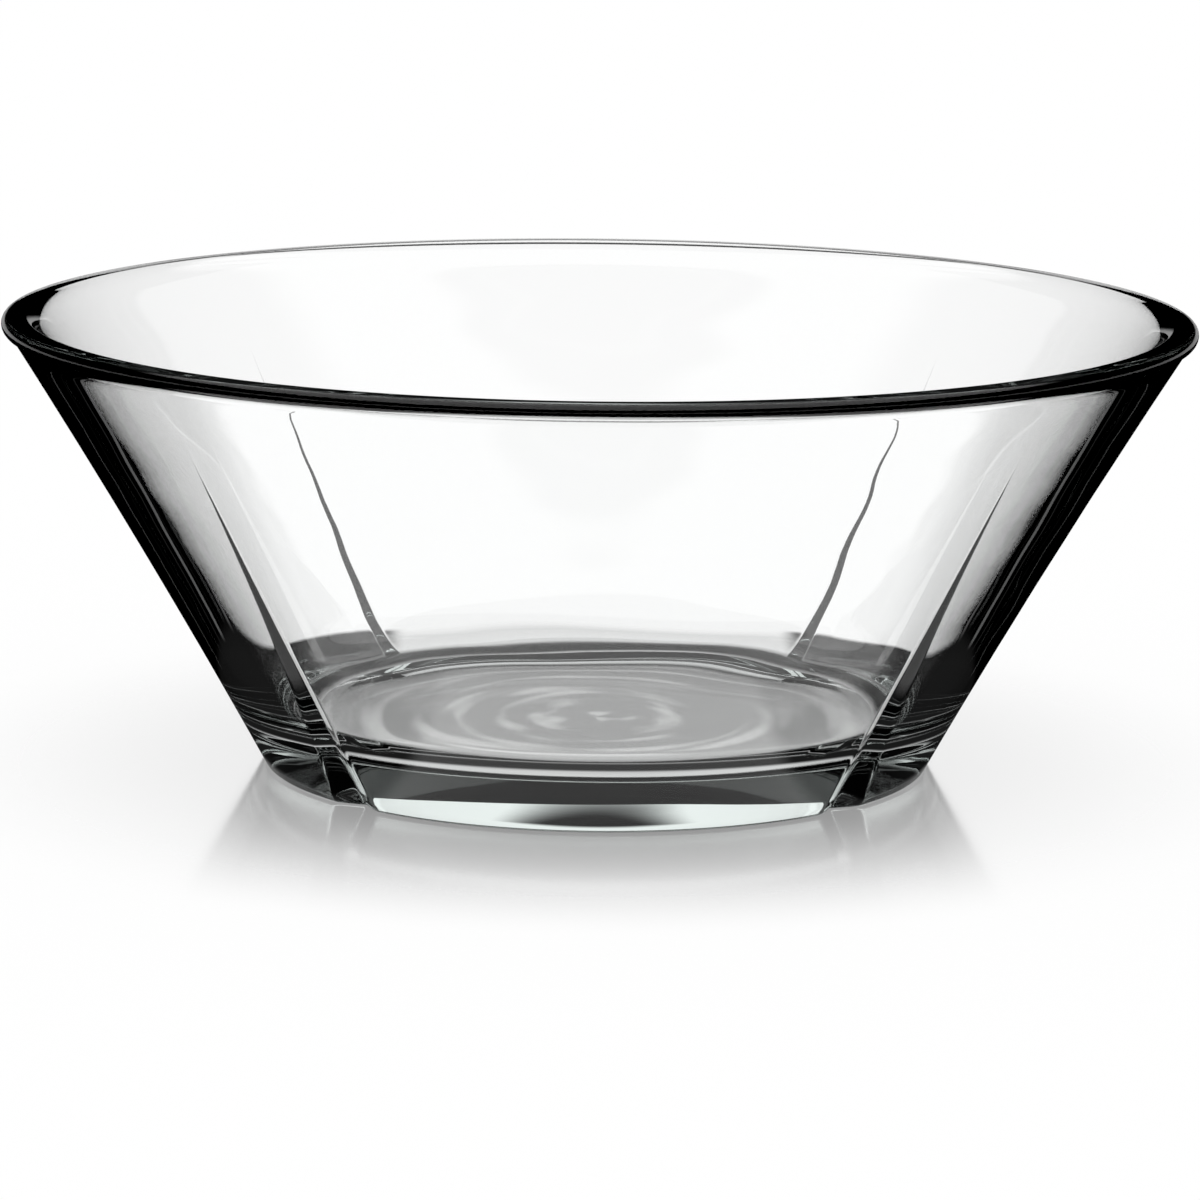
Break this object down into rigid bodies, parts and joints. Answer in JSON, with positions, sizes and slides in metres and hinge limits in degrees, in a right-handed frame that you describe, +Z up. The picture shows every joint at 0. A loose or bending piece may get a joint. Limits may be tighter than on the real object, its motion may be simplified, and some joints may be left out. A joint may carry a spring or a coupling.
{
  "type": "glass bowl",
  "caption": "Round clear pressed-glass serving bowl with a flared wall, a rounded lip, a thick flat base and tapered grooves that rise from the foot.",
  "frame": {"origin": "centre of the foot, on the surface that the bowl stands on", "axes": "+Z up along the bowl's axis; -Y towards the viewer of the picture, half way between two grooves"},
  "size_m": [0.245, 0.245, 0.0935],
  "materials": {
    "glass": "clear soda-lime glass, fire-polished, with a faint green edge tint"
  },
  "bodies": {
    "root": {"bowl": "glass"}
  },
  "joints": []
}
